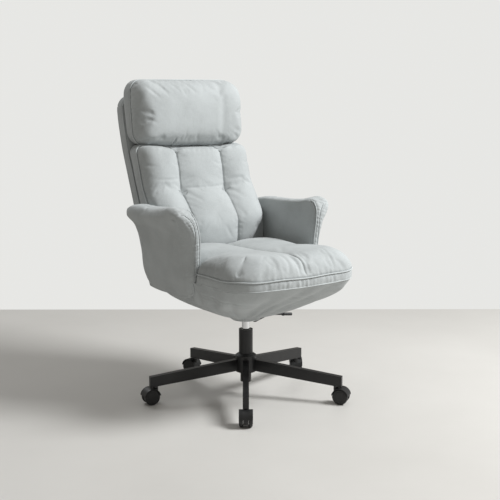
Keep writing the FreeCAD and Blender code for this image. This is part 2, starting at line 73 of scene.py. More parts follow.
CAMERA_HEADING = math.radians(-35.0)   # from -Y towards +X
CAMERA_DISTANCE = 3.355
CAMERA_HEIGHT = 1.059
CAMERA_DOWN = math.radians(9.22)
CAMERA_TURN = math.radians(-0.250)
LENS = 71.1


def make_camera():
    data = bpy.data.cameras.new("camera")
    data.sensor_width = 36.0
    data.lens = LENS
    data.clip_end = 50.0
    cam = bpy.data.objects.new("camera", data)
    scene.collection.objects.link(cam)
    a = CAMERA_HEADING
    cam.location = (CAMERA_DISTANCE * math.sin(a), -CAMERA_DISTANCE * math.cos(a), CAMERA_HEIGHT)
    cam.rotation_euler = (math.pi / 2 - CAMERA_DOWN, 0, a + CAMERA_TURN)
    scene.camera = cam


def area_light(name, heading, height, distance, size, power, colour):
    """Square soft box that faces the middle of the chair."""
    data = bpy.data.lights.new(name, "AREA")
    data.shape = "SQUARE"
    data.size = size
    data.energy = power
    data.color = colour
    light = bpy.data.objects.new(name, data)
    a = math.radians(heading)
    light.location = (distance * math.sin(a), -distance * math.cos(a), height)
    aim = Vector((0, 0, 0.6)) - light.location
    light.rotation_euler = aim.to_track_quat("-Z", "Y").to_euler()
    scene.collection.objects.link(light)


def make_world():
    world = bpy.data.worlds.new("studio")
    world.use_nodes = True
    nodes, links = world.node_tree.nodes, world.node_tree.links
    nodes.clear()
    fill = nodes.new("ShaderNodeBackground")
    fill.inputs["Color"].default_value = (1.0, 0.970, 0.91, 1)
    fill.inputs["Strength"].default_value = 0.31
    seen = nodes.new("ShaderNodeBackground")
    seen.inputs["Color"].default_value = (0.80, 0.80, 0.78, 1)
    seen.inputs["Strength"].default_value = 1.0
    path = nodes.new("ShaderNodeLightPath")
    mix = nodes.new("ShaderNodeMixShader")
    out = nodes.new("ShaderNodeOutputWorld")
    links.new(path.outputs["Is Camera Ray"], mix.inputs[0])
    links.new(fill.outputs[0], mix.inputs[1])
    links.new(seen.outputs[0], mix.inputs[2])
    links.new(mix.outputs[0], out.inputs[0])
    scene.world = world


def make_studio():
    scene.view_settings.view_transform = "Standard"
    scene.view_settings.look = "None"
    make_world()
    area_light("key", heading=46.0, height=3.1, distance=2.8, size=1.4, power=202.0,
               colour=(0.98, 0.995, 1.0))
    area_light("rear", heading=190.0, height=2.6, distance=2.6, size=1.6, power=22.0,
               colour=(0.94, 0.97, 1.0))
    mesh = bpy.data.meshes.new("floor")
    back, radius, rim = 1.36, 3.4, 96
    reach = math.acos(-back / radius)
    edge = [reach * (2 * i / rim - 1) for i in range(rim + 1)]
    points = [(radius * math.sin(t), -radius * math.cos(t), 0) for t in edge]
    mesh.from_pydata(points, [], [list(range(rim + 1))])
    floor = bpy.data.objects.new("floor", mesh)
    floor.rotation_euler.z = CAMERA_HEADING
    scene.collection.objects.link(floor)
    floor.data.materials.append(floor_material())


# ---------------------------------------------------------------- materials

def new_material(name):
    """A material with its Principled shader, node maker and linker."""
    mat = bpy.data.materials.new(name)
    mat.use_nodes = True
    shader = mat.node_tree.nodes["Principled BSDF"]
    return mat, shader, mat.node_tree.nodes, mat.node_tree.links


def noise_node(nodes, links, scale, detail, roughness=0.5, stretch=None):
    """Noise in the piece's own coordinates; scale is cells per metre."""
    where = nodes.new("ShaderNodeTexCoord").outputs["Object"]
    if stretch is not None:
        mapping = nodes.new("ShaderNodeMapping")
        mapping.inputs["Scale"].default_value = stretch
        links.new(where, mapping.inputs["Vector"])
        where = mapping.outputs["Vector"]
    noise = nodes.new("ShaderNodeTexNoise")
    noise.inputs["Scale"].default_value = scale
    noise.inputs["Detail"].default_value = detail
    noise.inputs["Roughness"].default_value = roughness
    links.new(where, noise.inputs["Vector"])
    return noise.outputs["Fac"]


def ramp_node(nodes, links, source, stops):
    ramp = nodes.new("ShaderNodeValToRGB")
    while len(ramp.color_ramp.elements) < len(stops):
        ramp.color_ramp.elements.new(0.5)
    for element, (place, colour) in zip(ramp.color_ramp.elements, stops):
        element.position = place
        element.color = (*colour, 1)
    links.new(source, ramp.inputs["Fac"])
    return ramp.outputs["Color"]


def bump_node(nodes, links, height, depth, strength, base=None):
    bump = nodes.new("ShaderNodeBump")
    bump.inputs["Distance"].default_value = depth
    bump.inputs["Strength"].default_value = strength
    links.new(height, bump.inputs["Height"])
    if base is not None:
        links.new(base, bump.inputs["Normal"])
    return bump.outputs["Normal"]


def range_node(nodes, links, source, low, high):
    """Maps 0.3..0.7 of a noise to low..high."""
    node = nodes.new("ShaderNodeMapRange")
    node.inputs["From Min"].default_value = 0.3
    node.inputs["From Max"].default_value = 0.7
    node.inputs["To Min"].default_value = low
    node.inputs["To Max"].default_value = high
    links.new(source, node.inputs["Value"])
    return node.outputs["Result"]


def scaled(colour, factor):
    return tuple(c * factor for c in colour)


def fabric_material(name, colour):
    """Brushed microfibre: nap that lies in soft patches, fine pile and a velvet edge."""
    mat, shader, nodes, links = new_material(name)
    patches = noise_node(nodes, links, scale=9.0, detail=3.0, roughness=0.55)
    flecks = noise_node(nodes, links, scale=260.0, detail=2.0, roughness=0.6)
    blend = nodes.new("ShaderNodeMix")
    blend.data_type = "FLOAT"
    blend.inputs["Factor"].default_value = 0.3
    links.new(patches, blend.inputs["A"])
    links.new(flecks, blend.inputs["B"])
    tint = ramp_node(nodes, links, blend.outputs["Result"],
                     [(0.30, scaled(colour, 0.86)), (0.5, colour), (0.72, scaled(colour, 1.10))])
    links.new(tint, shader.inputs["Base Color"])
    shader.inputs["Roughness"].default_value = 0.88
    shader.inputs["Specular IOR Level"].default_value = 0.25
    shader.inputs["Sheen Weight"].default_value = 0.16
    shader.inputs["Sheen Roughness"].default_value = 0.45
    pile = noise_node(nodes, links, scale=1400.0, detail=2.0, roughness=0.6)
    rumple = noise_node(nodes, links, scale=38.0, detail=4.0, roughness=0.55)
    soft = bump_node(nodes, links, rumple, depth=0.0035, strength=0.35)
    links.new(bump_node(nodes, links, pile, depth=0.0004, strength=0.5, base=soft), shader.inputs["Normal"])
    return mat


def black_material(name, colour, roughness, grain, depth):
    """Satin black surface with a fine grain and slightly uneven gloss."""
    mat, shader, nodes, links = new_material(name)
    cloud = noise_node(nodes, links, scale=22.0, detail=4.0, roughness=0.6)
    tint = ramp_node(nodes, links, cloud, [(0.3, scaled(colour, 0.75)), (0.7, scaled(colour, 1.3))])
    links.new(tint, shader.inputs["Base Color"])
    links.new(range_node(nodes, links, cloud, roughness - 0.07, roughness + 0.08), shader.inputs["Roughness"])
    speckle = noise_node(nodes, links, scale=grain, detail=2.0, roughness=0.5)
    links.new(bump_node(nodes, links, speckle, depth=depth, strength=0.6), shader.inputs["Normal"])
    return mat


def metal_material(name, colour, roughness, stretch):
    """Bare metal with fine lines along one direction."""
    mat, shader, nodes, links = new_material(name)
    lines = noise_node(nodes, links, scale=320.0, detail=3.0, roughness=0.6, stretch=stretch)
    tint = ramp_node(nodes, links, lines, [(0.3, scaled(colour, 0.92)), (0.7, colour)])
    links.new(tint, shader.inputs["Base Color"])
    shader.inputs["Metallic"].default_value = 1.0
    links.new(range_node(nodes, links, lines, roughness, roughness + 0.06), shader.inputs["Roughness"])
    links.new(bump_node(nodes, links, lines, depth=0.00005, strength=0.3), shader.inputs["Normal"])
    return mat


def wood_material():
    """Birch plywood: grain stretched along X."""
    mat, shader, nodes, links = new_material("plywood")
    grain = noise_node(nodes, links, scale=30.0, detail=6.0, roughness=0.6, stretch=(0.6, 9.0, 9.0))
    tint = ramp_node(nodes, links, grain, [(0.3, (0.50, 0.34, 0.19)), (0.7, (0.72, 0.55, 0.35))])
    links.new(tint, shader.inputs["Base Color"])
    shader.inputs["Roughness"].default_value = 0.6
    links.new(bump_node(nodes, links, grain, depth=0.0004, strength=0.4), shader.inputs["Normal"])
    return mat


def nylon_material():
    mat, shader, nodes, links = new_material("natural_nylon")
    cloud = noise_node(nodes, links, scale=60.0, detail=3.0)
    tint = ramp_node(nodes, links, cloud, [(0.3, (0.62, 0.61, 0.56)), (0.7, (0.72, 0.71, 0.66))])
    links.new(tint, shader.inputs["Base Color"])
    shader.inputs["Roughness"].default_value = 0.45
    return mat


def floor_material():
    mat, shader, nodes, links = new_material("floor")
    cloud = noise_node(nodes, links, scale=1.3, detail=5.0, roughness=0.55)
    tint = ramp_node(nodes, links, cloud, [(0.3, (0.585, 0.57, 0.545)), (0.7, (0.635, 0.62, 0.595))])
    links.new(tint, shader.inputs["Base Color"])
    shader.inputs["Roughness"].default_value = 0.42
    return mat


GREY = (0.425, 0.448, 0.452)
FABRIC = fabric_material("upholstery", GREY)
# The cords' fabric is the upholstery grey made 1.18 times lighter: a painted highlight for the light that the
# piping catches along its crest.
PIPING_PAINTED_HIGHLIGHT = fabric_material("piping", scaled(GREY, 1.18))
THREAD = fabric_material("thread", scaled(GREY, 0.6))
MATERIALS = {
    "upholstery": FABRIC,
    "plywood": wood_material(),
    "black_metal": black_material("black_metal", (0.006, 0.006, 0.0065), roughness=0.36, grain=700.0,
                                  depth=0.00012),
    "black_plastic": black_material("black_plastic", (0.009, 0.009, 0.0095), roughness=0.46,
                                    grain=1100.0, depth=0.0001),
    "natural_nylon": nylon_material(),
    "plain_steel": metal_material("plain_steel", (0.52, 0.52, 0.53), roughness=0.28,
                                  stretch=(1.0, 1.0, 8.0)),
    "chrome": metal_material("chrome", (0.78, 0.79, 0.80), roughness=0.07, stretch=(1.0, 1.0, 12.0)),
}


# ---------------------------------------------------------------- mesh helpers

CLOTH_STIFFNESS = 12.0
CORD_STEP = 0.004    # spacing of the points along a cord


def shade_smooth(mesh):
    mesh.polygons.foreach_set("use_smooth", [True] * len(mesh.polygons))


def mesh_object(name, points, faces, material):
    mesh = bpy.data.meshes.new(name)
    mesh.from_pydata([tuple(p) for p in points], [], [tuple(f) for f in faces])
    mesh.validate()
    shade_smooth(mesh)
    obj = bpy.data.objects.new(name, mesh)
    scene.collection.objects.link(obj)
    mesh.materials.append(material)
    return obj


def points_of(obj):
    co = np.empty(len(obj.data.vertices) * 3)
    obj.data.vertices.foreach_get("co", co)
    return co.reshape(-1, 3)


def normals_of(obj):
    co = np.empty(len(obj.data.vertices) * 3)
    obj.data.vertex_normals.foreach_get("vector", co)
    return co.reshape(-1, 3)


def set_points(obj, points):
    obj.data.vertices.foreach_set("co", np.ascontiguousarray(points, float).ravel())
    obj.data.update()


def apply_modifiers(obj):
    graph = bpy.context.evaluated_depsgraph_get()
    mesh = bpy.data.meshes.new_from_object(obj.evaluated_get(graph))
    old = obj.data
    obj.modifiers.clear()
    obj.data = mesh
    bpy.data.meshes.remove(old)


def subdivided(obj):
    modifier = obj.modifiers.new("smooth", "SUBSURF")
    modifier.levels = 1
    modifier.render_levels = 1
    apply_modifiers(obj)


def cube_grid(along_a, along_b, along_c):
    """Quads over the surface of a cube, from three rising lists of coordinates in -1..1."""
    na, nb, nc = len(along_a), len(along_b), len(along_c)
    index = -np.ones((na, nb, nc), int)
    border = np.ones((na, nb, nc), bool)
    border[1:-1, 1:-1, 1:-1] = False
    index[border] = np.arange(border.sum())
    i, j, k = np.nonzero(border)
    points = np.stack([np.array(along_a)[i], np.array(along_b)[j], np.array(along_c)[k]], 1)
    faces = []

    def side(sheet, flip):
        corners = [sheet[:-1, :-1], sheet[1:, :-1], sheet[1:, 1:], sheet[:-1, 1:]]
        quads = np.stack(corners, -1).reshape(-1, 4)
        faces.extend((quads[:, ::-1] if flip else quads).tolist())

    side(index[:, :, -1], False)
    side(index[:, :, 0], True)
    side(index[-1], False)
    side(index[0], True)
    side(index[:, -1, :], True)
    side(index[:, 0, :], False)
    return points, faces


def smooth_step(low, high, x):
    t = np.clip((x - low) / (high - low), 0, 1)
    return t * t * (3 - 2 * t)


def curve_through(stops, x):
    """Smooth value at x through rising (place, value) stops."""
    places, values = np.array(stops, float).T
    slopes = np.gradient(values, places)
    x = np.clip(np.asarray(x, float), places[0], places[-1])
    i = np.clip(np.searchsorted(places, x) - 1, 0, len(places) - 2)
    h = places[i + 1] - places[i]
    t = (x - places[i]) / h
    return ((2 * t**3 - 3 * t**2 + 1) * values[i] + (t**3 - 2 * t**2 + t) * h * slopes[i]
            + (3 * t**2 - 2 * t**3) * values[i + 1] + (t**3 - t**2) * h * slopes[i + 1])


def lengths_along(path):
    """Distance of each point from the first one, along the path."""
    return np.concatenate([[0], np.cumsum(np.linalg.norm(np.diff(path, axis=0), axis=1))])


def curve_along(stops, knots, at):
    """Points of the smooth curve through stops, at distances along it; knots are the stops' own."""
    return np.stack([curve_through(np.stack([knots, column], 1), at) for column in stops.T], 1)


def ripples(x, seed, waves=7, low=1.0, high=3.0):
    """Uneven repeatable waviness of about unit height; x in waves."""
    rng = np.random.RandomState(seed)
    total = np.zeros_like(np.asarray(x, float))
    for _ in range(waves):
        height = rng.uniform(0.5, 1)
        total = total + height * np.sin(2 * np.pi * (rng.uniform(low, high) * x + rng.uniform()))
    return total / (0.6 * waves)


def groove(distance, width, depth):
    """Soft valley with slightly raised shoulders."""
    near = (distance / width) ** 2
    return -depth * np.exp(-near) + 0.22 * depth * np.exp(-(np.sqrt(near) - 2.1) ** 2)


def crease(p, q, start, end, width, depth):
    """Dent along a short line in a panel's own (p, q) coordinates, fading out at both ends."""
    start, end = np.array(start), np.array(end)
    way = end - start
    t = ((p - start[0]) * way[0] + (q - start[1]) * way[1]) / way.dot(way)
    inside = np.clip(t, 0, 1)
    away = np.hypot(p - start[0] - inside * way[0], q - start[1] - inside * way[1])
    fade = np.sin(np.pi * np.clip(t, 0.02, 0.98)) ** 0.6
    return groove(away, width, depth) * fade


def creases(p, q, *lines):
    """Several creases together, each given as its start, end, width and depth."""
    return sum(crease(p, q, *line) for line in lines)


def inflate(obj, hold, pressure, slack, cap, frames=20):
    """Cloth under inner pressure; its result replaces the mesh.

    The points in hold stay, and no point moves further than cap.
    """
    start = points_of(obj)
    group = obj.vertex_groups.new(name="hold")
    group.add(np.nonzero(hold)[0].tolist(), 1.0, "REPLACE")
    modifier = obj.modifiers.new("cloth", "CLOTH")
    cloth = modifier.settings
    cloth.quality = 5
    cloth.mass = 0.25
    cloth.tension_stiffness = CLOTH_STIFFNESS
    cloth.compression_stiffness = CLOTH_STIFFNESS
    cloth.shear_stiffness = CLOTH_STIFFNESS / 3
    cloth.bending_stiffness = 0.15
    cloth.air_damping = 2.0
    cloth.use_pressure = True
    cloth.uniform_pressure_force = pressure
    cloth.shrink_min = -slack
    cloth.vertex_group_mass = "hold"
    cloth.pin_stiffness = 1.0
    cloth.effector_weights.gravity = 0.0
    modifier.collision_settings.use_collision = False
    modifier.point_cache.frame_start = 1
    modifier.point_cache.frame_end = frames
    for step in range(1, frames + 1):
        scene.frame_set(step)
    graph = bpy.context.evaluated_depsgraph_get()
    result = obj.evaluated_get(graph).to_mesh()
    co = np.empty(len(result.vertices) * 3)
    result.vertices.foreach_get("co", co)
    moved = co.reshape(-1, 3) - start
    length = np.maximum(np.linalg.norm(moved, axis=1, keepdims=True), TINY)
    moved = moved * cap * np.tanh(length / cap) / length
    obj.evaluated_get(graph).to_mesh_clear()
    obj.modifiers.clear()
    obj.vertex_groups.clear()
    set_points(obj, start + moved)
    scene.frame_set(1)


def tube(name, path, radius, closed, material, sides=10):
    """Round cord swept along a list of points."""
    path = np.array(path, float)
    count = len(path)
    if closed:
        ahead = np.roll(path, -1, 0) - np.roll(path, 1, 0)
    else:
        ahead = np.gradient(path, axis=0)
    ahead /= np.linalg.norm(ahead, axis=1, keepdims=True)
    side = np.cross(ahead, (0.31, 0.17, 0.93))
    side /= np.linalg.norm(side, axis=1, keepdims=True)
    other = np.cross(ahead, side)
    angles = np.linspace(0, 2 * np.pi, sides, endpoint=False)
    rings = (path[:, None] + radius * (np.cos(angles)[None, :, None] * side[:, None]
                                       + np.sin(angles)[None, :, None] * other[:, None]))
    faces = []
    for i in range(count if closed else count - 1):
        for k in range(sides):
            n, m = (i + 1) % count, (k + 1) % sides
            faces.append((i * sides + k, i * sides + m, n * sides + m, n * sides + k))
    if not closed:
        faces.append(tuple(range(sides))[::-1])
        faces.append(tuple((count - 1) * sides + k for k in range(sides)))
    return mesh_object(name, rings.reshape(-1, 3), faces, material)


def evenly(path, closed, step=CORD_STEP):
    """The path resampled at even steps and lightly smoothed."""
    path = np.array(path, float)
    if closed:
        path = np.vstack([path, path[:1]])
    away = lengths_along(path)
    count = max(4, int(away[-1] / step))
    at = np.linspace(0, away[-1], count + (0 if closed else 1), endpoint=not closed)
    out = np.stack([np.interp(at, away, path[:, k]) for k in range(3)], 1)
    for _ in range(2):
        if closed:
            out = (np.roll(out, 1, 0) + 2 * out + np.roll(out, -1, 0)) / 4
        else:
            out[1:-1] = (out[:-2] + 2 * out[1:-1] + out[2:]) / 4
    return out


def add_piece(obj, body, nodes=()):
    """The piece rides on its body and stands for its CAD nodes."""
    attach(obj, body)
    if nodes:
        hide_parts(*nodes)
    return obj


# ---------------------------------------------------------------- cushion forms

ARC_STEPS = 24    # points in each of a section's two arcs


def half_section(reach, low, waist, high, foot, shoulder, power=2.4):
    """Half of a cushion's cross-section as (distance from the middle, height) points.

    It runs from under the middle, out round the foot, up past the waist, over the shoulder and in to
    the middle of the top. Also gives how far along it the foot, the waist and the shoulder are.
    """
    angle = np.linspace(0, np.pi / 2, ARC_STEPS)
    foot_arc = np.stack([reach - foot * (1 - np.sin(angle)), low + foot * (1 - np.cos(angle))], 1)
    over = np.stack([reach - shoulder * (1 - np.cos(angle) ** (2 / power)),
                     waist + (high - waist) * np.sin(angle) ** (2 / power)], 1)
    line = np.vstack([[[0, low]], foot_arc, over, [[0, high]]])
    along = lengths_along(line)
    marks = (1 + ARC_STEPS // 2, 1 + ARC_STEPS, 1 + ARC_STEPS + ARC_STEPS // 2)
    return line, along, [along[mark] for mark in marks]


def square_turn(u, v):
    """Place round the unit square's edge, 0..1 from the middle of its lower side, towards +u."""
    side = np.abs(u) >= np.abs(v)
    return np.where(side & (u > 0), 0.125 + (v + 1) / 8,
                    np.where(side, 0.625 + (1 - v) / 8,
                             np.where(v > 0, 0.375 + (1 - u) / 8, (0.875 + (u + 1) / 8) % 1)))


def rounded_outline(half_u, half_v, corner):
    """Outline function of a rounded rectangle about the origin."""
    core = np.array([half_u - corner, half_v - corner])

    def outline(u, v):
        p = np.stack([u * half_u, v * half_v], 1)
        away = p - np.clip(p, -core, core)
        return p - away + corner * away / np.maximum(np.linalg.norm(away, axis=1, keepdims=True), TINY)
    return outline


def four_sided_outline(front, top, rear, bottom, middle):
    """Outline function from four sides: front and rear run upwards, top and bottom from front to rear."""
    def side(stops, fraction):
        stops = np.array(stops, float)
        knots = lengths_along(stops)
        return curve_along(stops, knots, fraction * knots[-1])

    def outline(u, v):
        flank = (np.abs(u) >= np.abs(v))[:, None]
        up, along = (v + 1) / 2, (u + 1) / 2
        flanks = np.where((u < 0)[:, None], side(front, up), side(rear, up))
        ends = np.where((v > 0)[:, None], side(top, along), side(bottom, along))
        return np.where(flank, flanks, ends) - np.array(middle)
    return outline


def cushion_grid(outline, section, cells):
    """Closed cushion: the cross-section led round the outline.

    Gives points (u, v, height), faces, the grid coordinates, and three rings of point numbers in order
    round the cushion: the foot edge, the welt at the waist and the shoulder edge.
    """
    line, along, (foot, waist, shoulder) = section
    rows = np.linspace(-1, 1, cells[2] + 1)
    welt_row = 2 * (waist - foot) / (shoulder - foot) - 1
    rows[1 + np.argmin(np.abs(rows[1:-1] - welt_row))] = welt_row
    grid, faces = cube_grid(np.linspace(-1, 1, cells[0] + 1), np.linspace(-1, 1, cells[1] + 1), rows)
    a, b, c = grid.T
    ring = np.maximum(np.abs(a), np.abs(b))
    safe = np.maximum(ring, TINY)
    edge = outline(np.clip(a / safe, -1, 1), np.clip(b / safe, -1, 1))
    edge[ring < TINY] = 0
    on_wall = ring > 1 - TINY
    at = np.where(on_wall, foot + (c + 1) / 2 * (shoulder - foot),
                  np.where(c > 0, along[-1] - ring * (along[-1] - shoulder), ring * foot))
    away = np.interp(at, along, line[:, 0]) / line[:, 0].max()
    height = np.interp(at, along, line[:, 1])
    points = np.column_stack([edge * away[:, None], height])

    def ordered(row):
        found = np.nonzero(on_wall & (np.abs(c - row) < TINY))[0]
        return found[np.argsort(square_turn(a[found], b[found]))]

    return points, faces, grid, [ordered(-1), ordered(welt_row), ordered(1)]


def press(obj, depth):
    """Moves each point along its normal."""
    set_points(obj, points_of(obj) + normals_of(obj) * depth[:, None])


def gather_columns(x, grid, places, gap=0.003):
    """Brings three neighbouring grid columns of the outer side together at each seam's place."""
    x = x.copy()
    columns = np.unique(grid[:, 0])
    middle = (np.abs(grid[:, 1]) < 0.1) & (grid[:, 2] == 1)
    natural = np.array([x[middle & (grid[:, 0] == c)].mean() for c in columns])
    for place in places:
        nearest = int(np.argmin(np.abs(natural - place)))
        for step in (-1, 0, 1):
            chosen = (grid[:, 0] == columns[nearest + step]) & (grid[:, 2] > -1)
            x[chosen] = place + step * gap
    return x


def pleats(along, away, pitch, reach, depth, seed):
    """Small gathers beside a seam: along it and away from it, in metres."""
    fade = np.exp(-np.clip(away, 0, 1) / reach) * smooth_step(0.0, 0.003, away)
    return depth * fade * ripples(along / pitch, seed, waves=5, low=0.75, high=1.3)


def stitched(distance, depth=0.0034, width=0.0017):
    """Narrow furrow of a sewn seam."""
    return -depth * np.exp(-(distance / width) ** 2)


def furrow(obj, path, width=0.0045, depth=0.0022):
    """Draws the surface in along a path, beside a cord."""
    tree = KDTree(len(path))
    for i, p in enumerate(path):
        tree.insert(p, i)
    tree.balance()
    away = np.array([tree.find(v.co)[2] for v in obj.data.vertices])
    press(obj, -depth * np.exp(-(away / width) ** 2))


def piping(name, path, radius=0.0024, closed=True, push=0.0, about=None):
    """Fabric-covered cord along a seam, pushed out from a middle point."""
    path = np.array(path, float)
    if about is not None:
        out = path - np.array(about)
        path = path + push * out / np.linalg.norm(out, axis=1, keepdims=True)
    # The cord gets the lighter fabric, whose extra brightness is a painted highlight.
    return add_piece(tube(name, evenly(path, closed), radius, closed, PIPING_PAINTED_HIGHLIGHT), "seat")


def laid(obj, stops):
    """Smooth path through given stops, laid on a piece's surface."""
    stops = np.array(stops, float)
    knots = lengths_along(stops)
    at = np.linspace(0, knots[-1], int(knots[-1] / 0.005))
    path = curve_along(stops, knots, at)
    return evenly([obj.closest_point_on_mesh(Vector(p))[1] for p in path], False)


# ---------------------------------------------------------------- seat cushion

SEAT_BETWEEN_ARMS = 0.2335    # half the seat's width where the arms flank it
FRONT_BOW = 0.034    # how far the seat's front corners stand behind its middle
# (height, y) along the front edge of the arms
ARM_FRONT = [(0.372, -0.034), (0.388, -0.044), (0.410, -0.058), (0.460, -0.074), (0.540, -0.083),
             (0.610, -0.087), (0.646, -0.080), (0.670, -0.060)]


def make_seat_cushion():
    low, high = node_box("seat_cushion")
    half = high[0]
    base = low[2] + 0.005
    front, rear = low[1], high[1]
    middle = (front + rear) / 2
    welt = base + 0.034
    section = half_section(half, low=base, waist=welt, high=high[2] - 0.004, foot=0.006, shoulder=0.072)
    outline = rounded_outline(half, (rear - front) / 2, corner=0.085)
    points, faces, grid, rings = cushion_grid(outline, section, cells=(80, 80, 16))
    x, y, z = points.T
    x = gather_columns(x, grid, [0.0])
    y = y + middle
    y = y + FRONT_BOW * (x / half) ** 2 * smooth_step(0.0, front, y)
    narrow = 1 - SEAT_BETWEEN_ARMS / half
    behind = y - curve_through(ARM_FRONT, z)
    x = x * (1 - narrow * smooth_step(-0.013, -0.004, behind))
    crest = smooth_step(welt + 0.02, high[2], z)
    z = z + crest * (0.006 * (1 - (x / half) ** 2) - 0.011 * smooth_step(-0.28, -0.06, y))
    obj = mesh_object("seat_cushion_cover", np.column_stack([x, y, z]), faces, FABRIC)

    # two crowned halves either side of the centre seam
    above = smooth_step(welt + 0.002, welt + 0.026, z)
    valley = 0.009 * np.exp(-(np.abs(x) / 0.060) ** 1.5) + 0.002 * np.exp(-(x / 0.008) ** 2)
    press(obj, -above * valley)
    seam = (np.abs(x) < 0.001) & (z > welt)
    hold = seam | (np.abs(z - welt) < 0.002) | (z < base + 0.004)
    inflate(obj, hold, pressure=6.0, slack=0.009, cap=0.009)
    edge = points_of(obj)[rings[1]]
    hem = points_of(obj)[rings[0]]
    subdivided(obj)

    x, y, z = points_of(obj).T
    turn = np.arctan2(x, -(y - middle)) * 0.30
    over = z - welt
    front_middle = np.exp(-(turn / 0.16) ** 2)
    depth = pleats(turn, over, pitch=0.020, reach=0.016, depth=0.0011, seed=3)
    depth = depth * smooth_step(0, 0.004, over) * (0.35 + front_middle)
    band = np.sin(np.pi * np.clip((z - base) / (welt - base), 0, 1))
    waves = ripples(turn / 0.022, seed=4, waves=6, low=0.6, high=1.3)
    depth = depth + 0.0011 * band * waves * (0.4 + front_middle)
    away = np.abs(x)
    along = y - 1.2 * z
    crown = smooth_step(welt + 0.004, welt + 0.014, z)
    depth = depth + crown * stitched(away)
    depth = depth + crown * pleats(along + 0.4 * away, away, pitch=0.026, reach=0.014, depth=0.0007, seed=5)
    nose = crown * np.exp(-((along + 0.935) / 0.045) ** 2)
    depth = depth + nose * creases(x, along,
                                   ((-0.014, -0.975), (-0.030, -0.900), 0.005, 0.0026),
                                   ((-0.040, -0.975), (-0.075, -0.905), 0.006, 0.0022),
                                   ((0.010, -0.975), (0.016, -0.890), 0.004, 0.0022),
                                   ((-0.085, -0.965), (-0.110, -0.925), 0.005, 0.0016),
                                   ((0.120, -0.955), (0.118, -0.905), 0.005, 0.0016))
    depth = depth + crown * creases(x, along,
                                    ((0.015, -0.830), (0.060, -0.760), 0.010, 0.0014),
                                    ((-0.210, -0.800), (-0.120, -0.860), 0.012, 0.0016))
    press(obj, depth)
    furrow(obj, evenly(edge, closed=True))
    add_piece(obj, "seat", ["seat_cushion"])
    edge[:, 2] += 0.0016 * ripples(np.arange(len(edge)) / len(edge) * 9, seed=6, waves=5, low=1, high=2)
    piping("seat_welt", edge, radius=0.0023, push=0.0014, about=(0, middle, welt))
    piping("seat_lower_welt", hem + [0, 0, 0.002], radius=0.0019, push=0.0004, about=(0, middle, base))


# ---------------------------------------------------------------- back

# (height, y) up the rear face of the back, and up the front of the back cushion
SPINE = [(0.402, 0.270), (0.460, 0.304), (0.520, 0.330), (0.660, 0.380), (0.845, 0.456),
         (0.940, 0.483), (1.040, 0.500), (1.150, 0.518)]
BACK_FRONT = [(0.462, 0.192), (0.500, 0.176), (0.560, 0.168), (0.606, 0.170), (0.660, 0.206),
              (0.720, 0.250), (0.790, 0.272), (0.846, 0.292), (0.870, 0.304)]
SHELL_DEPTH = 0.0418      # from the rear face to the front of the outer back
CUSHION_GAP = 0.0025      # air between the outer back and the cushions
BACK_HALF_WIDTH = 0.226   # of the back cushion, above its taper
SEAM_AT = 0.093           # distance of the two seams from the middle
TUFT_AT = 0.712           # height of the tufts


def spine(z):
    """Rear face of the back at height z, its kinks eased."""
    heights, depths = np.array(SPINE).T
    return sum(np.interp(z + ease, heights, depths) for ease in (-0.018, 0.0, 0.018)) / 3


def droop(x):
    """How far the line between the head pillow and the back cushion hangs below its ends."""
    return 0.013 * (1 - np.minimum(1, ((x - 0.02) / 0.215) ** 2))


def back_half_width(z):
    """Half width of the back cushion, which narrows down to the seat."""
    return curve_through([(0.460, 0.150), (0.500, 0.162), (0.530, 0.180), (0.560, 0.201), (0.590, 0.217),
                          (0.620, 0.2245), (0.650, BACK_HALF_WIDTH), (0.870, BACK_HALF_WIDTH)], z)


